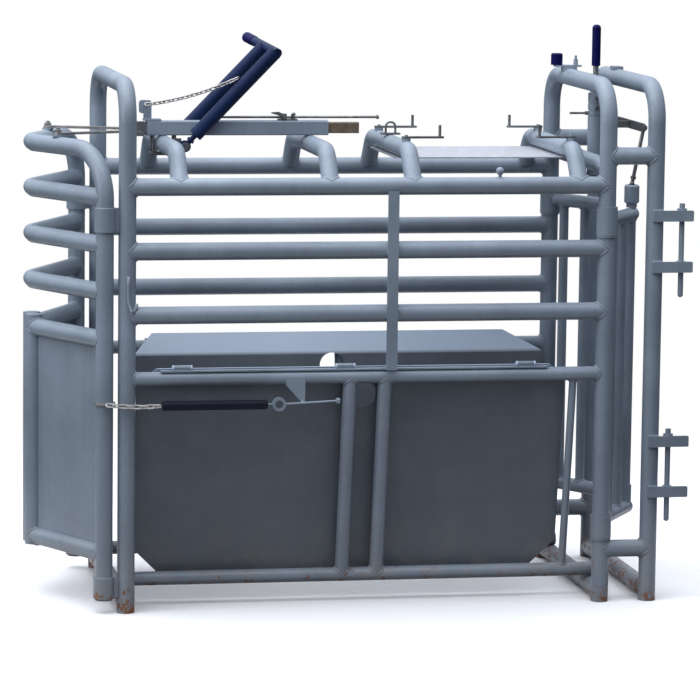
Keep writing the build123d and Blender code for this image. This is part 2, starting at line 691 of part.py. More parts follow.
# ---- head gate lock, lever and crosshead ----------------------------------------
lock_x = head_x + tube / 2 + lock_outer / 2 + 0.4
cross_x = head_x + crosshead_lead
with BuildPart() as lock_housing:
    low, high = lock_span
    rod((lock_x, y_mid, low), (lock_x, y_mid, high), lock_outer)
    for z, tall in ((1498.0, 6.0), (1512.0, 4.0), (1672.0, 4.0), (1690.0, 6.0), (1716.0, 4.0)):
        block((lock_x, y_mid, z), (2 * lock_outer, 2 * lock_outer, tall), mode=Mode.SUBTRACT)
        rod((lock_x, y_mid, z - tall), (lock_x, y_mid, z + tall), lock_outer - 5)
    rod((lock_x, y_mid, low - 1), (lock_x, y_mid, high + 1), lever_rod + 2 * turn_gap,
        mode=Mode.SUBTRACT)
    block((lock_x + lock_outer / 2, y_mid, crosshead_height - 36), (lock_outer, 15, 104),
          mode=Mode.SUBTRACT)
save(lock_housing, "lock_housing")

with BuildPart() as lever_shaft:
    rod((lock_x, y_mid, lock_span[0] - 40), (lock_x, y_mid, grip_top - 12), lever_rod)
    block(((lock_x + cross_x) / 2, y_mid, crosshead_height), (cross_x - lock_x, 14, 24))
save(lever_shaft, "head_lever_shaft")

with BuildPart() as head_grip:
    rod((lock_x, y_mid, grip_top - 146), (lock_x, y_mid, grip_top), 31)
    fillet(head_grip.edges().sort_by(Axis.Z)[-1], radius=13)
    rod((lock_x, y_mid, grip_top - 150), (lock_x, y_mid, grip_top - 11.8), lever_rod + 2 * fit_up,
        mode=Mode.SUBTRACT)
save(head_grip, "head_lever_grip")

rod_lines = {}
for side_name, side in sides.items():
    eye = Vector(cross_x, y_mid + side * crosshead_half, crosshead_height)
    a = radians(door_angle - door_swing)
    shut = Vector(head_x + door_reach * sin(a), side_y(side) - side * door_reach * cos(a),
                  crosshead_height)
    swing = (shut - eye).normalized()
    tip_x, tip_y, _ = door_point(side, door_reach, 0)
    rod_lines[side_name] = (eye, Vector(tip_x, tip_y, ball_height), Vector(swing.Y, -swing.X, 0))

with BuildPart() as crosshead:
    block((cross_x + 4 + fit_up, y_mid, crosshead_height), (8, 2 * crosshead_half - 24, 30))
    for side_name, side in sides.items():
        eye, _, pin_dir = rod_lines[side_name]
        out = pin_dir * side
        rod(eye - out * 14, eye + out * 14, rod_pin)
        rod(eye + out * 8, eye + out * 14, 17)
        rod(eye - out * 18, eye - out * 8, 24)
save(crosshead, "crosshead")

for side_name, (eye, ball, pin_dir) in rod_lines.items():
    run = (ball - eye).normalized()
    with BuildPart() as drop_rod:
        rod(eye - pin_dir * 7, eye + pin_dir * 7, 22)
        rod(eye + run * 9, ball, 13)
        rod(ball - run * 26, ball - run * 17, 20)
        with Locations(ball):
            Sphere(ball_radius)
        rod(eye - pin_dir * 9, eye + pin_dir * 9, rod_pin + 2 * pin_gap, mode=Mode.SUBTRACT)
    save(drop_rod, f"{side_name}_drop_rod")

with BuildPart() as trip_rod:
    trip = Vector(lock_x - lock_outer / 2 - 0.4, y_mid, 1680)
    rod(trip - Vector(66, 0, 0), trip, 8)
    rod(trip - Vector(10, 0, 0), trip, 14)
save(trip_rod, "trip_rod")

# ---- fittings on the hoops ------------------------------------------------------
knob_y = y_mid + 170
with BuildPart() as latch_saddle:
    block((head_x - 6, knob_y, hoop_height + 9), (96, 40, 6))
    block((head_x, knob_y, hoop_height - 6), (50, 40, 28))
    rod((head_x - 46, knob_y, hoop_height + 10), (head_x - 46, knob_y, hoop_height + 24), 12)
    rod((head_x + 24, knob_y, hoop_height + 10), (head_x + 24, knob_y, hoop_height + 32), 16)
    rod((head_x + 24, knob_y, hoop_height + 30), (head_x + 24, knob_y, hoop_height + 46), 9)
    cope((head_x, knob_y - 60, hoop_line), (head_x, knob_y + 60, hoop_line), tube)
    block((front_x, y_mid + 150, hoop_height + 3), (34, 60, 12))
    cope((front_x, y_mid, hoop_line), (front_x, y_mid + 300, hoop_line), tube)
save(latch_saddle, "latch_saddle")

with BuildPart() as latch_knob:
    rod((head_x - 46, knob_y, hoop_height + 12.4), (head_x - 46, knob_y, hoop_height + 54), 42)
    fillet(latch_knob.edges().sort_by(Axis.Z)[-1], radius=6)
    rod((head_x - 46, knob_y, hoop_height), (head_x - 46, knob_y, hoop_height + 26),
        12 + 2 * pin_gap, mode=Mode.SUBTRACT)
save(latch_knob, "latch_knob")

# ---- panel lugs and drop pins ---------------------------------------------------
near_y = side_y(-1)
lug_y = near_y - tube / 2 - fit_up - lug_thick / 2
eye_y = lug_y + lug_thick / 2 + lug_eye / 2 - 1
with BuildPart() as front_lugs:
    for pair, place in zip(lug_heights, pin_places):
        for z in pair:
            block((front_x + (lug_reach - 14) / 2, lug_y, z),
                  (lug_reach + 14, lug_thick, lug_tall))
            low, high = z - lug_tall / 2, z + lug_tall / 2
            rod((front_x + place, eye_y, low), (front_x + place, eye_y, high), lug_eye)
            rod((front_x + place, eye_y, low - 1), (front_x + place, eye_y, high + 1),
                drop_pin + 2 * turn_gap, mode=Mode.SUBTRACT)
    fillet(front_lugs.edges().filter_by(Axis.Y), radius=5)
save(front_lugs, "front_lugs")

for name, pair, place in zip(("upper", "lower"), lug_heights, pin_places):
    x = front_x + place
    low, high = pair[0] - 98, pair[1] + 42
    seat = pair[1] + lug_tall / 2 + rest_gap
    with BuildPart() as pin:
        rod((x, eye_y, low), (x, eye_y, high), drop_pin)
        rod((x, eye_y, seat), (x, eye_y, seat + 5), lug_eye)
        with Locations((x, eye_y, low)):
            Sphere(drop_pin / 2)
    save(pin, f"{name}_drop_pin")

# ---- near side bar, peg and chain tie -------------------------------------------
with BuildPart() as window_bar:
    x = rear_x + window_bar_place
    low = mid_rail_height + small_tube / 2
    high = rail_heights[0] - tube / 4
    y = near_y - tube / 2 - 3.2
    block((x, y, (low + high) / 2), (38, 6, high - low))
save(window_bar, "window_bar")

with BuildPart() as rail_peg:
    x = rear_x + peg_place
    top = rail_heights[0] + tube / 2
    rod((x, near_y, top - 4), (x, near_y, top + 14), 12)
    with Locations((x, near_y, top + 20)):
        Sphere(14)
    cope((rear_x, near_y, rail_heights[0]), (head_x, near_y, rail_heights[0]), tube)
save(rail_peg, "rail_peg")

tie_y = near_y - 48
tab_x = rear_x + 546
grip_start = rear_x + 116
grip_end = rear_x + 478
tie_bore = 9.0
with BuildPart() as tie_rod:
    rod((grip_end - 60, tie_y, tie_height), (grip_end + 23, tie_y, tie_height), tie_bore - 0.4)
    with BuildSketch(facing(grip_end + 40, tie_y - 5, tie_height)):
        Circle(24)
        Circle(14, mode=Mode.SUBTRACT)
    extrude(amount=-10)
    rod((grip_end + 56, tie_y, tie_height), (rear_x + 722, tie_y, tie_height + 9), 8)
    with BuildSketch(Plane(origin=(rear_x + 716, tie_y, tie_height + 8), z_dir=(1, 0, 0))):
        RegularPolygon(11, 6)
    extrude(amount=12)
    with BuildSketch(facing(tab_x, near_y - 19, mid_rail_height - 24)):
        with BuildLine():
            Polyline((0, 26), (66, 26), (66, -60), (60, -66), (0, 0), close=True)
        make_face()
    extrude(amount=6)
    rod((tab_x + 57, near_y - 19, tie_height + 4), (tab_x + 57, tie_y, tie_height + 4), 12)
    cope((rear_x, near_y, mid_rail_height), (head_x, near_y, mid_rail_height), small_tube)
save(tie_rod, "tie_rod")

with BuildPart() as tie_grip:
    rod((grip_start, tie_y, tie_height), (grip_end, tie_y, tie_height), 33)
    fillet(tie_grip.edges(), radius=4)
    rod((grip_start - 1, tie_y, tie_height), (grip_end + 1, tie_y, tie_height), tie_bore,
        mode=Mode.SUBTRACT)
save(tie_grip, "tie_grip")

loop_outer = tube + 14
with BuildPart() as tie_chain:
    chain((post_x + 4, near_y - loop_outer / 2 - 7.3, tie_height + 5),
          (grip_start - 5.6, tie_y, tie_height), 5, 6, 22)
    rod((post_x, near_y, tie_height + 1), (post_x, near_y, tie_height + 9), loop_outer,
        7 - turn_gap)
    block((post_x - 6 - tube, near_y - 3 + tube, tie_height + 5), (2 * tube, 2 * tube, 20),
          mode=Mode.SUBTRACT)
save(tie_chain, "tie_chain")
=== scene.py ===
"""Looks of the cattle squeeze chute: paint, welds, small fittings, light and camera.

Everything is in metres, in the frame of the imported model.
"""
import math
import random

import bpy
from mathutils import Matrix, Vector


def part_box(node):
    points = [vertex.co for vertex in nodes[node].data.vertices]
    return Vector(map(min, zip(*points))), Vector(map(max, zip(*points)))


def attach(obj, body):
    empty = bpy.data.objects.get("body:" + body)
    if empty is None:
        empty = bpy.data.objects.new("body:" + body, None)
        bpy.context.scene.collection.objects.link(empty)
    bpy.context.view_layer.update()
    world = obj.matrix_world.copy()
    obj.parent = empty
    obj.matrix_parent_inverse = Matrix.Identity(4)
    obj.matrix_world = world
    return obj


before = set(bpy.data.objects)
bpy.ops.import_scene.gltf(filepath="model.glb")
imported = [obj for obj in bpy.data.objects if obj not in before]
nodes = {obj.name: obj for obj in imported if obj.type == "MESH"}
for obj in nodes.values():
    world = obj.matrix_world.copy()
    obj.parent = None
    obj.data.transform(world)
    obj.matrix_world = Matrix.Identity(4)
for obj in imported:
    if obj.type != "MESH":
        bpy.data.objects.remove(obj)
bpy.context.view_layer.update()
random.seed(7)

# ---- pipe sizes, as the frame has them ------------------------------------------
PIPE = 0.0603 / 2
SMALL_PIPE = 0.0483 / 2
GATE_BAR = 0.0334 / 2
THIN_STRUT = 0.0267 / 2
SLEEVE = 0.073 / 2
UP = Vector((0, 0, 1))
ALONG = Vector((1, 0, 0))
ACROSS = Vector((0, 1, 0))


def corners(node):
    """Lowest and highest corner of a CAD node as vectors."""
    low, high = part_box(node)
    return Vector(low), Vector(high)


def centre(node):
    low, high = corners(node)
    return (low + high) / 2


# ---- places read from the frame -------------------------------------------------
rear_x = centre("rear_hoop").x
head_x = centre("head_hoop").x
front_x = centre("front_hoop").x
near_y = corners("rear_hoop")[0].y + PIPE
far_y = corners("rear_hoop")[1].y - PIPE
mid_y = (near_y + far_y) / 2
side_ys = {"near": near_y, "far": far_y}
inward = {"near": 1, "far": -1}
rail_low, rail_high = corners("near_side_rails")
top_rail_z = rail_high.z - PIPE
low_rail_z = rail_low.z + PIPE
rail_heights = (low_rail_z, (low_rail_z + top_rail_z) / 2, top_rail_z)
mid_rail_z = corners("lower_rails")[1].z - SMALL_PIPE
bottom_rail_z = corners("lower_rails")[0].z + SMALL_PIPE
BOTTOM_RAIL_INSET = 0.12
HINGE_OFFSET = 0.076
STRUT_SPACING = 0.122
base_z = centre("base_crossbars").z
head_bar_z = centre("head_crossbar").z
tie_zs = (corners("hoop_ties")[0].z + PIPE, corners("hoop_ties")[1].z - PIPE)


# ---- materials ------------------------------------------------------------------
def shader(name):
    """New material, with its node tree and its surface shader."""
    material = bpy.data.materials.new(name)
    material.use_nodes = True
    return material, material.node_tree, material.node_tree.nodes["Principled BSDF"]


def add(tree, kind, **settings):
    node = tree.nodes.new(kind)
    for key, value in settings.items():
        setattr(node, key, value)
    return node


def noise(tree, coords, scale, detail=4.0, roughness=0.6):
    """Noise over the object's own coordinates."""
    node = add(tree, "ShaderNodeTexNoise")
    node.inputs["Scale"].default_value = scale
    node.inputs["Detail"].default_value = detail
    node.inputs["Roughness"].default_value = roughness
    tree.links.new(coords, node.inputs["Vector"])
    return node.outputs["Fac"]


def ramp(tree, value, stops):
    """Colour ramp with (position, grey or colour) stops."""
    node = add(tree, "ShaderNodeValToRGB")
    elements = node.color_ramp.elements
    while len(elements) < len(stops):
        elements.new(0.5)
    for element, (position, colour) in zip(elements, stops):
        element.position = position
        rgb = (colour,) * 3 if isinstance(colour, (int, float)) else colour
        element.color = (*rgb, 1)
    tree.links.new(value, node.inputs["Fac"])
    return node.outputs["Color"]


def mix(tree, factor, first, second, blend="MIX"):
    """Mix of two colours, each a socket or an (r, g, b)."""
    node = add(tree, "ShaderNodeMix", data_type="RGBA", blend_type=blend)
    for socket, value in ((node.inputs[0], factor), (node.inputs[6], first),
                          (node.inputs[7], second)):
        if isinstance(value, bpy.types.NodeSocket):
            tree.links.new(value, socket)
        elif isinstance(value, (int, float)):
            socket.default_value = value
        else:
            socket.default_value = (*value, 1)
    return node.outputs[2]


def math_node(tree, operation, first, second):
    node = add(tree, "ShaderNodeMath", operation=operation)
    for socket, value in zip(node.inputs, (first, second)):
        if isinstance(value, bpy.types.NodeSocket):
            tree.links.new(value, socket)
        else:
            socket.default_value = value
    return node.outputs[0]


def bump(tree, height, strength, distance, normal=None):
    node = add(tree, "ShaderNodeBump")
    node.inputs["Strength"].default_value = strength
    node.inputs["Distance"].default_value = distance
    tree.links.new(height, node.inputs["Height"])
    if normal is not None:
        tree.links.new(normal, node.inputs["Normal"])
    return node.outputs["Normal"]


def object_coords(tree):
    return add(tree, "ShaderNodeTexCoord").outputs["Object"]


PAINT = (0.245, 0.300, 0.365)
RUST = (0.16, 0.065, 0.028)
DUST = (0.30, 0.26, 0.20)


def fade(tree, value, start, end):
    """Zero at start, one at end, and clamped outside."""
    node = add(tree, "ShaderNodeMapRange")
    node.inputs["From Min"].default_value = start
    node.inputs["From Max"].default_value = end
    tree.links.new(value, node.inputs["Value"])
    return node.outputs[0]


def painted_steel(name, colour, gloss=0.36, rust_start=0.66, waves=0.0, dust=0.5,
                  painted_sheen_from=None, shine=0.5):
    """Enamel over steel: uneven film, painted shade that darkens it low down, dustier low down,
    with runs of dirt and chips that rust, and a painted highlight above a height if one is
    given."""
    material, tree, surface = shader(name)
    coords = object_coords(tree)
    deep = tuple(c * 0.80 for c in colour)
    pale = tuple(min(1, c * 1.16 + 0.008) for c in colour)
    patches = noise(tree, coords, 2.6, 5, 0.62)
    film = mix(tree, ramp(tree, patches, ((0.32, 0), (0.72, 1))), deep, pale)
    speckle = ramp(tree, noise(tree, coords, 190, 3, 0.7), ((0.30, 0.86), (0.72, 1.06)))
    film = mix(tree, 0.55, film, speckle, "MULTIPLY")

    stretch = add(tree, "ShaderNodeMapping")
    stretch.inputs["Scale"].default_value = (38, 38, 1.6)
    tree.links.new(coords, stretch.inputs["Vector"])
    streaks = ramp(tree, noise(tree, stretch.outputs["Vector"], 1.0, 4, 0.6),
                   ((0.50, 0), (0.78, 1)))
    film = mix(tree, math_node(tree, "MULTIPLY", streaks, 0.22), film,
               tuple(c * 0.55 for c in colour))

    split = add(tree, "ShaderNodeSeparateXYZ")
    tree.links.new(coords, split.inputs[0])
    # painted highlight: above the given height the paint turns about 4.6 times brighter,
    # standing in for the sky light caught by the upward-facing top flange
    if painted_sheen_from:
        painted_sheen = fade(tree, split.outputs["Z"], painted_sheen_from, painted_sheen_from + 0.012)
        film = mix(tree, painted_sheen, film, tuple(min(1, c * 4.6) for c in colour))
    # painted shade: from 0.86 m down to 0.60 m the paint darkens, standing in for the dimmer
    # light low down
    painted_low_shade = fade(tree, split.outputs["Z"], 0.86, 0.60)
    film = mix(tree, math_node(tree, "MULTIPLY", painted_low_shade, 0.24), film,
               tuple(c * 0.25 for c in colour))
    low = fade(tree, split.outputs["Z"], 0.34, 0.0)
    foot = fade(tree, split.outputs["Z"], 0.14, 0.03)
    cloud = noise(tree, coords, 9, 6, 0.7)
    dirt = math_node(tree, "MULTIPLY", low,
                     ramp(tree, cloud, ((0.38, 0), (0.68, 1))))
    film = mix(tree, math_node(tree, "MULTIPLY", dirt, dust), film, DUST)

    chips = noise(tree, coords, 34, 8, 0.78)
    chance = math_node(tree, "ADD", chips, math_node(tree, "MULTIPLY", low, 0.05))
    chance = math_node(tree, "ADD", chance, math_node(tree, "MULTIPLY", foot, 0.11))
    worn = ramp(tree, chance, ((rust_start, 0), (rust_start + 0.035, 1)))
    tint = mix(tree, noise(tree, coords, 80, 4, 0.7), RUST, tuple(c * 1.9 for c in RUST))
    tree.links.new(mix(tree, worn, film, tint), surface.inputs["Base Color"])

    rough = ramp(tree, cloud, ((0.25, gloss - 0.07), (0.75, gloss + 0.12)))
    tree.links.new(mix(tree, worn, rough, (0.85, 0.85, 0.85)), surface.inputs["Roughness"])
    surface.inputs["Specular IOR Level"].default_value = shine

    normal = bump(tree, noise(tree, coords, 260, 3, 0.5), 0.10, 0.0004)
    if waves:
        normal = bump(tree, noise(tree, coords, 3.4, 2, 0.4), waves, 0.02, normal)
    normal = bump(tree, worn, 0.35, -0.0005, normal)
    tree.links.new(normal, surface.inputs["Normal"])
    return material


def bare_metal(name, colour, roughness, tarnish, grain=(6, 160, 160), painted_up_to=None):
    """Plated or bare steel with drawn grain and dull patches, painted up to an X if given."""
    material, tree, surface = shader(name)
    coords = object_coords(tree)
    patches = ramp(tree, noise(tree, coords, 24, 6, 0.7), ((0.36, 0), (0.7, 1)))
    film = mix(tree, patches, colour, tarnish)
    if painted_up_to is None:
        surface.inputs["Metallic"].default_value = 0.85
    else:
        split = add(tree, "ShaderNodeSeparateXYZ")
        tree.links.new(coords, split.inputs[0])
        paint = fade(tree, split.outputs["X"], painted_up_to + 0.003, painted_up_to)
        film = mix(tree, paint, film, PAINT)
    tree.links.new(film, surface.inputs["Base Color"])
    tree.links.new(ramp(tree, noise(tree, coords, 55, 4, 0.6),
                        ((0.3, roughness - 0.1), (0.75, roughness + 0.18))),
                   surface.inputs["Roughness"])
    stretch = add(tree, "ShaderNodeMapping")
    stretch.inputs["Scale"].default_value = grain
    tree.links.new(coords, stretch.inputs["Vector"])
    tree.links.new(bump(tree, noise(tree, stretch.outputs["Vector"], 4, 3, 0.5), 0.12, 0.0006),
                   surface.inputs["Normal"])
    return material


def grip_rubber(name, colour):
    """Dipped or moulded vinyl grip, a little scuffed."""
    material, tree, surface = shader(name)
    surface.inputs["Specular IOR Level"].default_value = 0.10
    coords = object_coords(tree)
    scuffs = ramp(tree, noise(tree, coords, 60, 7, 0.75), ((0.52, 0), (0.78, 1)))
    tree.links.new(mix(tree, scuffs, colour, tuple(c * 1.7 + 0.004 for c in colour)),
                   surface.inputs["Base Color"])
    tree.links.new(ramp(tree, noise(tree, coords, 30, 4, 0.6), ((0.3, 0.34), (0.7, 0.56))),
                   surface.inputs["Roughness"])
    tree.links.new(bump(tree, noise(tree, coords, 420, 2, 0.5), 0.15, 0.0004),
                   surface.inputs["Normal"])
    return material


frame_paint = painted_steel("blue_grey_paint", PAINT)
sheet_paint = painted_steel("sheet_paint", (0.225, 0.275, 0.335), gloss=0.42, rust_start=0.70,
                            waves=0.35)
# painted shade: the squeeze panels get a paint about half as bright as the frame's, standing in
# for the shade on these panels, which face partly down
shaded_panel_paint = painted_steel("shaded_panel_paint", (0.115, 0.138, 0.168), gloss=0.46, rust_start=0.68,
                            waves=0.45, painted_sheen_from=0.778)
weld_paint = painted_steel("weld_paint", (0.250, 0.305, 0.370), gloss=0.34, rust_start=0.65)
navy_paint = painted_steel("navy_paint", (0.005, 0.016, 0.062), gloss=0.34, rust_start=0.72,
                           dust=0.1, shine=0.10)
navy_grip = grip_rubber("navy_grip", (0.003, 0.004, 0.062))
dark_grip = grip_rubber("dark_grip", (0.010, 0.010, 0.022))
zinc = bare_metal("zinc", (0.50, 0.50, 0.49), 0.36, (0.27, 0.26, 0.25))
dull_zinc = bare_metal("dull_zinc", (0.27, 0.29, 0.305), 0.42, (0.14, 0.135, 0.13))
bare_bar = bare_metal("bare_bar", (0.20, 0.155, 0.11), 0.5, (0.09, 0.06, 0.038),
                      painted_up_to=rear_x + 0.3)
galvanised = bare_metal("galvanised", (0.66, 0.68, 0.72), 0.42, (0.50, 0.52, 0.56), (9, 9, 9))

FINISHES = {
    "lever_tubes": navy_paint, "lever_handle": navy_paint, "lever_grip": navy_grip,
    "head_lever_grip": navy_grip, "tie_grip": dark_grip, "latch_knob": navy_grip,
    "lever_chain": zinc, "tie_chain": zinc, "tie_rod": frame_paint, "latch_rod": dull_zinc,
    "latch_hook": dull_zinc, "trip_rod": dull_zinc, "near_drop_rod": dull_zinc,
    "far_drop_rod": dull_zinc, "head_lever_shaft": dull_zinc, "crosshead": dull_zinc,
    "slide_bar": bare_bar, "near_gate_arm": zinc, "far_gate_arm": zinc, "slide_head": dull_zinc,
    "lever_bracket": dull_zinc, "latch_brackets": dull_zinc, "near_squeeze_panel": shaded_panel_paint,
    "far_squeeze_panel": shaded_panel_paint, "near_tail_sheet": sheet_paint,
    "far_tail_sheet": sheet_paint, "roof_plate": galvanised, "stop_bar_1": dull_zinc,
    "stop_bar_2": dull_zinc, "stop_bar_3": dull_zinc, "stop_bar_4": dull_zinc,
}
for name, node in nodes.items():
    finish = FINISHES.get(name, frame_paint)
    node.data.materials.clear()
    node.data.materials.append(finish)


# ---- mesh helpers ---------------------------------------------------------------
def piece(name, mesh_data, material, body, smooth=True):
    """New object from vertices and faces, riding on a CAD body."""
    verts, faces = mesh_data
    mesh = bpy.data.meshes.new(name)
    mesh.from_pydata([tuple(v) for v in verts], [], faces)
    mesh.validate()
    mesh.update()
    for polygon in mesh.polygons:
        polygon.use_smooth = smooth
    mesh.materials.append(material)
    thing = bpy.data.objects.new(name, mesh)
    bpy.context.scene.collection.objects.link(thing)
    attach(thing, body)
    return thing


def square_to(direction):
    """Two unit vectors square to a direction and to each other."""
    first = direction.cross(UP if abs(direction.z) < 0.9 else ALONG).normalized()
    return first, direction.cross(first).normalized()


class Shape:
    """Vertices and faces gathered for one piece."""

    def __init__(self):
        self.verts = []
        self.faces = []

    def data(self):
        return self.verts, self.faces

    def tube(self, points, radii, sides=8, closed=False):
        """Round tube through points, with a radius at each."""
        base = len(self.verts)
        count = len(points)
        for i, point in enumerate(points):
            before = points[i - 1] if closed or i else points[0]
            after = points[(i + 1) % count] if closed or i < count - 1 else points[-1]
            u, v = square_to((after - before).normalized())
            for j in range(sides):
                a = 2 * math.pi * j / sides
                self.verts.append(point + (u * math.cos(a) + v * math.sin(a)) * radii[i])
        rings = count if closed else count - 1
        for i in range(rings):
            for j in range(sides):
                a = base + i * sides + j
                b = base + i * sides + (j + 1) % sides
                c = base + ((i + 1) % count) * sides + (j + 1) % sides
                d = base + ((i + 1) % count) * sides + j
                self.faces.append((a, b, c, d))
        if not closed:
            self.faces.append(tuple(base + j for j in reversed(range(sides))))
            self.faces.append(tuple(base + (count - 1) * sides + j for j in range(sides)))

    def weld(self, points, radius=0.0042, closed=True, sizes=None):
        """Weld bead along points: a row of overlapping ripples, never quite even."""
        radii = []
        for i in range(len(points)):
            ripple = (0.90, 1.0, 1.06)[i % 3]
            size = sizes[i] if sizes else 1
            radii.append(radius * size * ripple * random.uniform(0.95, 1.05))
        self.tube(points, radii, 7, closed)

    def joint(self, start, direction, radius, main_direction, main_radius, count=84):
        """Weld round a branch pipe, which dies away where the two pipes run together."""
        points = saddle(start, direction, radius, main_direction, main_radius, count)
        sizes = []
        for point in points:
            reach = point - start
            branch_out = reach - direction * reach.dot(direction)
            main_out = reach - main_direction * reach.dot(main_direction)
            meeting = branch_out.normalized().cross(main_out.normalized()).length
            sizes.append(0.30 + 0.85 * meeting)
        self.weld(points, sizes=sizes)


def saddle(start, direction, radius, main_direction, main_radius, count=84):
    """Loop where a branch pipe meets a main pipe whose axis passes through start."""
    u, v = square_to(direction)
    flat = direction - main_direction * direction.dot(main_direction)
    points = []
    for i in range(count):
        a = 2 * math.pi * i / count
        offset = (u * math.cos(a) + v * math.sin(a)) * radius
        across = offset - main_direction * offset.dot(main_direction)
        aa = flat.dot(flat)
        bb = 2 * flat.dot(across)
        cc = across.dot(across) - main_radius ** 2
        t = (-bb + math.sqrt(max(0.0, bb * bb - 4 * aa * cc))) / (2 * aa)
        points.append(start + offset + direction * t)
    return points


def circle(middle, axis, radius, count=72):
    u, v = square_to(axis)
    return [middle + (u * math.cos(a) + v * math.sin(a)) * radius
            for a in (2 * math.pi * i / count for i in range(count))]


def run(start, end, step=0.0022):
    """Evenly spaced points from start to end, for a straight weld."""
    count = max(3, round((end - start).length / step))
    return [start.lerp(end, i / count) for i in range(count + 1)]


# ---- welds of the frame ---------------------------------------------------------
frame_welds = Shape()
for side, y in side_ys.items():
    for x, direction in ((rear_x, ALONG), (head_x, -ALONG)):
        for z in rail_heights:
            frame_welds.joint(Vector((x, y, z)), direction, PIPE, UP, PIPE)
        frame_welds.joint(Vector((x, y, mid_rail_z)), direction, SMALL_PIPE, UP, PIPE)
    for z in tie_zs:
        frame_welds.joint(Vector((head_x, y, z)), ALONG, PIPE, UP, PIPE)
        frame_welds.joint(Vector((front_x, y, z)), -ALONG, PIPE, UP, PIPE)
    inner = ACROSS * inward[side]
    for x in (rear_x, head_x, front_x):
        frame_welds.joint(Vector((x, y, base_z)), inner, PIPE, UP, PIPE)
    frame_welds.joint(Vector((head_x, y, head_bar_z)), inner, PIPE, UP, PIPE)

strut_low, strut_high = corners("side_struts")
strut_xs = ((strut_low.x + SMALL_PIPE, SMALL_PIPE),
            (strut_low.x + SMALL_PIPE + STRUT_SPACING, SMALL_PIPE),
            (strut_high.x - THIN_STRUT, THIN_STRUT))
for side, y in side_ys.items():
    foot = Vector((0, y + inward[side] * BOTTOM_RAIL_INSET, bottom_rail_z))
    top = Vector((0, y, mid_rail_z))
    down = (foot - top).normalized()
    for x, radius in strut_xs:
        shift = Vector((x, 0, 0))
        frame_welds.joint(top + shift, down, radius, ALONG, SMALL_PIPE, 66)
        frame_welds.joint(foot + shift, -down, radius, ALONG, SMALL_PIPE, 66)

BOW_PLACES = (0.179, 0.698, 0.987, 1.571)
BOW_LEAN = 0.095
bow_z = corners("roof_bows")[1].z - PIPE
for side, y in side_ys.items():
    shoulder = Vector((0, y + inward[side] * BOW_LEAN, bow_z))
    foot = Vector((0, y, top_rail_z))
    for place in BOW_PLACES:
        shift = Vector((rear_x + place, 0, 0))
        frame_welds.joint(foot + shift, (shoulder - foot).normalized(), PIPE, ALONG, PIPE)

piece("frame_welds", frame_welds.data(), weld_paint, "frame")

# ---- welds of the tail gates ----------------------------------------------------
DOMED_BAR_HEIGHTS = (1.424, 1.264, 1.104)
SHEET_PIPE_HEIGHTS = (0.942, 0.206)
for side, y in side_ys.items():
    post_high = corners(side + "_tail_post")[1]
    frame_low, frame_high = corners(side + "_tail_frame")
    post = Vector((post_high.x - PIPE, y, 0))
    tip_x = frame_low.x + PIPE
    tip_y = (frame_high.y - PIPE) if side == "near" else (frame_low.y + PIPE)
    tip = Vector((tip_x, tip_y, 0))
    along = (tip - post).normalized()
    leaf_welds = Shape()
    for z in DOMED_BAR_HEIGHTS + SHEET_PIPE_HEIGHTS:
        leaf_welds.joint(post + UP * z, along, PIPE, UP, PIPE)
    for z in SHEET_PIPE_HEIGHTS:
        leaf_welds.joint(tip + UP * z, -along, PIPE, UP, PIPE)
    piece(side + "_tail_gate_welds", leaf_welds.data(), weld_paint, side + "_tail_gate")

# ---- welds of the head doors ----------------------------------------------------
DOOR_ANGLE = math.radians(32)
DOOR_BARS = (0.073, 0.178, 0.283)
DOOR_PIPE_HEIGHTS = (0.290, 1.336)
for side, y in side_ys.items():
    along = Vector((math.sin(DOOR_ANGLE), inward[side] * math.cos(DOOR_ANGLE), 0))
    door_welds = Shape()
    for reach in DOOR_BARS:
        for z, way in zip(DOOR_PIPE_HEIGHTS, (UP, -UP)):
            door_welds.joint(Vector((head_x, y, z)) + along * reach, way, GATE_BAR, along,
                             SMALL_PIPE, 54)
    for z in DOOR_PIPE_HEIGHTS:
        door_welds.joint(Vector((head_x, y, z)), along, SMALL_PIPE, UP, SLEEVE)
    piece(side + "_door_welds", door_welds.data(), weld_paint, side + "_door")

# ---- small welds and fittings on the frame --------------------------------------
LUG_TALL = 0.038
LUG_HEIGHTS = (1.177, 1.355, 0.388, 0.566)
SLEEVE_ENDS = (0.051, 0.124, 1.309, 1.390)
small_welds = Shape()
face_y = near_y - PIPE - 0.0012
for z in LUG_HEIGHTS:
    for edge in (z - LUG_TALL / 2, z + LUG_TALL / 2):
        small_welds.weld(run(Vector((front_x - 0.013, face_y, edge)),
                             Vector((front_x + 0.020, face_y + 0.004, edge))), 0.0042, False)
bar_low, bar_high = corners("window_bar")
for z in rail_heights[:2]:
    for x in (bar_low.x, bar_high.x):
        small_welds.weld(run(Vector((x, face_y, z - 0.014)), Vector((x, face_y, z + 0.014))),
                         0.0035, False)
for y in side_ys.values():
    for z in SLEEVE_ENDS:
        small_welds.weld(circle(Vector((rear_x - HINGE_OFFSET, y, z)), UP, PIPE + 0.0015),
                         0.0022)
piece("small_frame_welds", small_welds.data(), weld_paint, "frame")

chain_keeper = Shape()
hook_y = near_y - PIPE - 0.006
hook = [Vector((rear_x, hook_y, z)) for z in (1.16, 1.13, 1.10, 1.07)]
hook += [Vector((rear_x + 0.008, hook_y - 0.010, 1.045)),
         Vector((rear_x + 0.018, hook_y - 0.017, 1.035)),
         Vector((rear_x + 0.026, hook_y - 0.020, 1.048)),
         Vector((rear_x + 0.026, hook_y - 0.020, 1.070))]
chain_keeper.tube(hook, [0.0055] * len(hook), 10)
piece("chain_keeper", chain_keeper.data(), frame_paint, "frame")

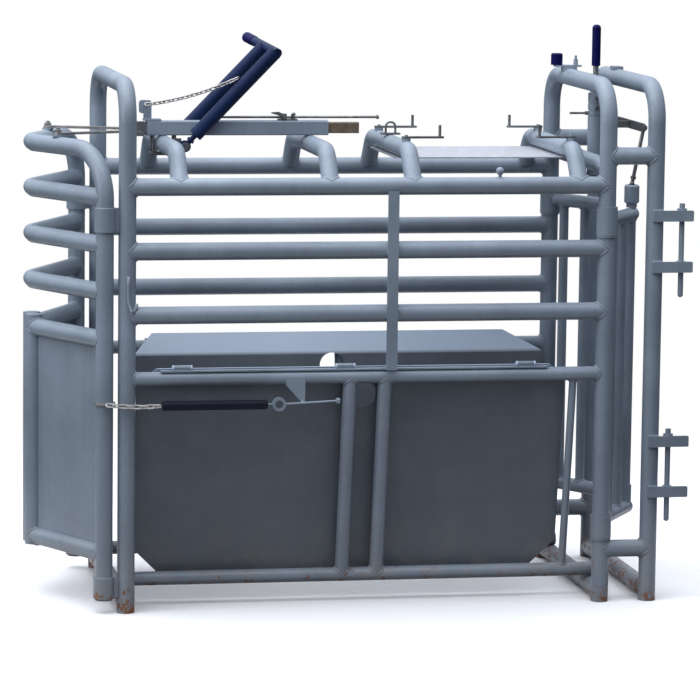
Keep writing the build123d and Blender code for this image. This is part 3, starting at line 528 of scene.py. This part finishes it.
LOCK_SCREW_HEIGHTS = (1.53, 1.70, 1.735)
lock_bolts = Shape()
lock_low, lock_high = corners("lock_housing")
lock_axis = (lock_low + lock_high) / 2
for z in LOCK_SCREW_HEIGHTS:
    foot = Vector((lock_axis.x, lock_low.y, z))
    lock_bolts.tube([foot + ACROSS * 0.002, foot - ACROSS * 0.007], [0.0075, 0.0075], 6)
    lock_bolts.tube([foot - ACROSS * 0.007, foot - ACROSS * 0.012], [0.0045, 0.0040], 12)
piece("lock_set_screws", lock_bolts.data(), dull_zinc, "frame", smooth=False)


# ---- light, floor and camera ----------------------------------------------------
def stage_floor():
    """Pale floor that dies away with distance, and throws little light back at the object."""
    bpy.ops.mesh.primitive_plane_add(size=40, location=(0, 0, -0.0005))
    floor = bpy.context.object
    floor.name = "floor"
    material, tree, surface = shader("floor")
    light_path = add(tree, "ShaderNodeLightPath")
    seen = math_node(tree, "MAXIMUM", light_path.outputs["Is Camera Ray"],
                     light_path.outputs["Is Glossy Ray"])
    tree.links.new(mix(tree, seen, (0.06, 0.06, 0.06), (0.90, 0.90, 0.90)),
                   surface.inputs["Base Color"])
    surface.inputs["Roughness"].default_value = 0.9
    surface.inputs["Specular IOR Level"].default_value = 0.0
    distance = add(tree, "ShaderNodeVectorMath", operation="LENGTH")
    tree.links.new(object_coords(tree), distance.inputs[0])
    tree.links.new(fade(tree, distance.outputs["Value"], 3.6, 1.7), surface.inputs["Alpha"])
    floor.data.materials.append(material)


def area_light(name, place, target, size, power):
    light = bpy.data.lights.new(name, "AREA")
    light.shape = "RECTANGLE"
    light.size, light.size_y = size
    light.energy = power
    lamp = bpy.data.objects.new(name, light)
    lamp.location = place
    lamp.rotation_euler = (Vector(target) - Vector(place)).to_track_quat("-Z", "Y").to_euler()
    bpy.context.scene.collection.objects.link(lamp)


def studio_world():
    """Soft sky, white to the camera: light from above, a little more from the tail side."""
    world = bpy.data.worlds.new("studio")
    bpy.context.scene.world = world
    world.use_nodes = True
    tree = world.node_tree
    background = tree.nodes["Background"]
    light_path = add(tree, "ShaderNodeLightPath")
    split = add(tree, "ShaderNodeSeparateXYZ")
    tree.links.new(add(tree, "ShaderNodeTexCoord").outputs["Generated"], split.inputs[0])
    height = ramp(tree, split.outputs["Z"],
                  ((0.0, 0.02), (0.03, 0.20), (0.45, 0.78), (0.9, 1.75)))
    sideways = math_node(tree, "MULTIPLY", split.outputs["X"], -0.30)
    depth = math_node(tree, "MULTIPLY", split.outputs["Y"], 0.22)
    turned = math_node(tree, "ADD", 1.0, math_node(tree, "ADD", sideways, depth))
    sky = mix(tree, 1.0, height, (0.93, 0.97, 1.08), "MULTIPLY")
    colour = mix(tree, light_path.outputs["Is Camera Ray"], sky, (1.0, 1.0, 1.0))
    tree.links.new(colour, background.inputs["Color"])
    strength = mix(tree, light_path.outputs["Is Camera Ray"], turned, (1.0, 1.0, 1.0))
    tree.links.new(strength, background.inputs["Strength"])


def photo_camera():
    """Camera where the fit of the frame puts it, with the small roll that it has."""
    azimuth = math.radians(-10.665)
    elevation = math.radians(7.5)
    roll = math.radians(0.709)
    place = Vector((rear_x - 1.6516, mid_y - 13.2838, 2.6199))
    back = Vector((math.sin(azimuth) * math.cos(elevation),
                   -math.cos(azimuth) * math.cos(elevation), math.sin(elevation)))
    level = Vector((math.cos(azimuth), math.sin(azimuth), 0))
    above = back.cross(level)
    right = level * math.cos(roll) + above * math.sin(roll)
    top = above * math.cos(roll) - level * math.sin(roll)
    camera = bpy.data.cameras.new("camera")
    camera.lens = 197.87
    camera.sensor_width = 36
    camera.clip_end = 60
    eye = bpy.data.objects.new("camera", camera)
    eye.matrix_world = Matrix((
        (right.x, top.x, back.x, place.x),
        (right.y, top.y, back.y, place.y),
        (right.z, top.z, back.z, place.z),
        (0, 0, 0, 1)))
    bpy.context.scene.collection.objects.link(eye)
    bpy.context.scene.camera = eye


stage_floor()
area_light("sky_panel", (-1.2, -0.5, 5.5), (0, 0, 0.8), (6, 5), 170)
area_light("left_panel", (-6.3, -2.2, 3.2), (0, 0, 0.9), (3, 3), 110)
studio_world()
photo_camera()
bpy.context.scene.view_settings.view_transform = "Standard"
